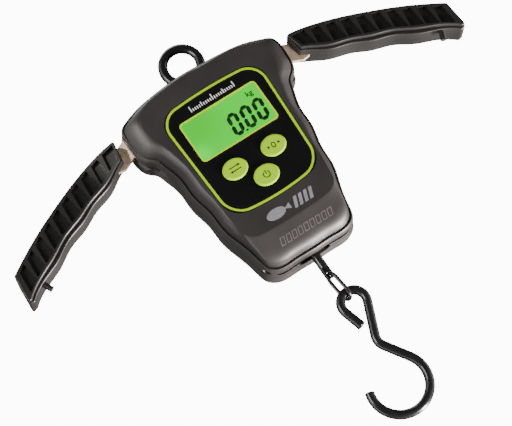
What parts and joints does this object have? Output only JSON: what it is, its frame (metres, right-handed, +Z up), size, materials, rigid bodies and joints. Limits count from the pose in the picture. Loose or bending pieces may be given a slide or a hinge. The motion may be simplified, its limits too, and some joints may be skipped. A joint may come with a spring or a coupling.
{
  "type": "digital fish scale",
  "caption": "Hanging digital fish scale: waisted case with lit display and keys, folding ribbed grip handles, top ring, swivelling stud, chain link and open load hook.",
  "frame": {"origin": "centre of the hanging ring's eye", "axes": "+Z up along the load line from hook to ring; the display faces -Y; +X to the right of a reader; Y = 0 is the plane of the ring and of the arm plates"},
  "size_m": [0.2741, 0.0341, 0.2373],
  "materials": {
    "case_plastic": "satin moulded, fine spark grain",
    "grip_plastic": "satin moulded",
    "inner_plastic": "plain moulded",
    "panel_black": "polished, printed border",
    "clear_window": "clear hard-coated",
    "lcd": "backlit display glass",
    "light_guide": "translucent acrylic",
    "silicone": "soft",
    "board_green": "solder resist",
    "chip_black": "moulded epoxy",
    "key_lime": "domed, semi-gloss",
    "black_steel": "gloss black plating",
    "zinc_steel": "bright zinc",
    "passivated_steel": "yellow passivated zinc",
    "screw_steel": "black oxide",
    "nylon": "natural nylon",
    "cell_aluminium": "milled",
    "battery_jacket": "plain jacket",
    "contact_steel": "nickel plated",
    "lead_sleeve": "flexible sleeve",
    "peg_rubber": "matt"
  },
  "bodies": {
    "case": {"front_shell": "case_plastic", "rear_shell": "case_plastic", "case_screws": "screw_steel", "front_panel": "panel_black", "display_window": "clear_window", "lcd_glass": "lcd", "backlight": "light_guide", "contact_strips": "silicone", "circuit_board": "board_green", "board_screws": "screw_steel", "key_switches": "inner_plastic", "board_parts": "chip_black", "buzzer": "chip_black", "hang_ring": "black_steel", "ring_nuts": "zinc_steel", "yoke": "passivated_steel", "hinge_bushes": "nylon", "load_cell": "cell_aluminium", "cell_potting": "silicone", "battery_tray": "inner_plastic", "batteries": "battery_jacket", "battery_contacts": "contact_steel", "cell_lead": "lead_sleeve", "battery_lead": "lead_sleeve", "left_hinge_pin": "zinc_steel", "right_hinge_pin": "zinc_steel"},
    "left_handle": {"left_handle_front": "grip_plastic", "left_handle_rear": "grip_plastic", "left_arm_plate": "passivated_steel", "left_latch_peg": "peg_rubber", "left_handle_screws": "screw_steel"},
    "right_handle": {"right_handle_front": "grip_plastic", "right_handle_rear": "grip_plastic", "right_arm_plate": "passivated_steel", "right_latch_peg": "peg_rubber", "right_handle_screws": "screw_steel"},
    "unit_key": {"unit_button": "key_lime"},
    "tare_key": {"tare_button": "key_lime"},
    "power_key": {"power_button": "key_lime"},
    "cover": {"battery_cover": "case_plastic"},
    "stud": {"load_stud": "black_steel", "stud_nut": "zinc_steel"},
    "link": {"chain_link": "black_steel"},
    "hook": {"load_hook": "black_steel"}
  },
  "joints": [
    {"name": "left_handle_fold", "type": "hinge", "parent": "case", "child": "left_handle", "pos_m": [-0.039, 0, -0.0305], "axis": [0, 1, 0], "range_deg": [-73.5, 0]},
    {"name": "right_handle_fold", "type": "hinge", "parent": "case", "child": "right_handle", "pos_m": [0.039, 0, -0.0305], "axis": [0, 1, 0], "range_deg": [0, 75.5]},
    {"name": "unit_press", "type": "slide", "parent": "case", "child": "unit_key", "axis": [0, 1, 0], "range_m": [0, 0.0006], "stiffness_N_per_m": 500, "springref_m": -0.0006},
    {"name": "tare_press", "type": "slide", "parent": "case", "child": "tare_key", "axis": [0, 1, 0], "range_m": [0, 0.0006], "stiffness_N_per_m": 500, "springref_m": -0.0006},
    {"name": "power_press", "type": "slide", "parent": "case", "child": "power_key", "axis": [0, 1, 0], "range_m": [0, 0.0006], "stiffness_N_per_m": 500, "springref_m": -0.0006},
    {"name": "battery_cover_slide", "type": "slide", "parent": "case", "child": "cover", "axis": [0, 0, -1], "range_m": [0, 0.054]},
    {"name": "stud_swivel", "type": "hinge", "parent": "case", "child": "stud", "pos_m": [0, 0, -0.0775], "axis": [0, 0, 1], "continuous": true},
    {"name": "link_swing", "type": "hinge", "parent": "stud", "child": "link", "pos_m": [0, 0, -0.1392], "axis": [-0.2756, 0.9613, 0], "range_deg": [-60, 60]},
    {"name": "hook_swing", "type": "hinge", "parent": "link", "child": "hook", "pos_m": [0.0018, 0, -0.152], "axis": [1, 0, 0], "range_deg": [-55, 55]}
  ]
}
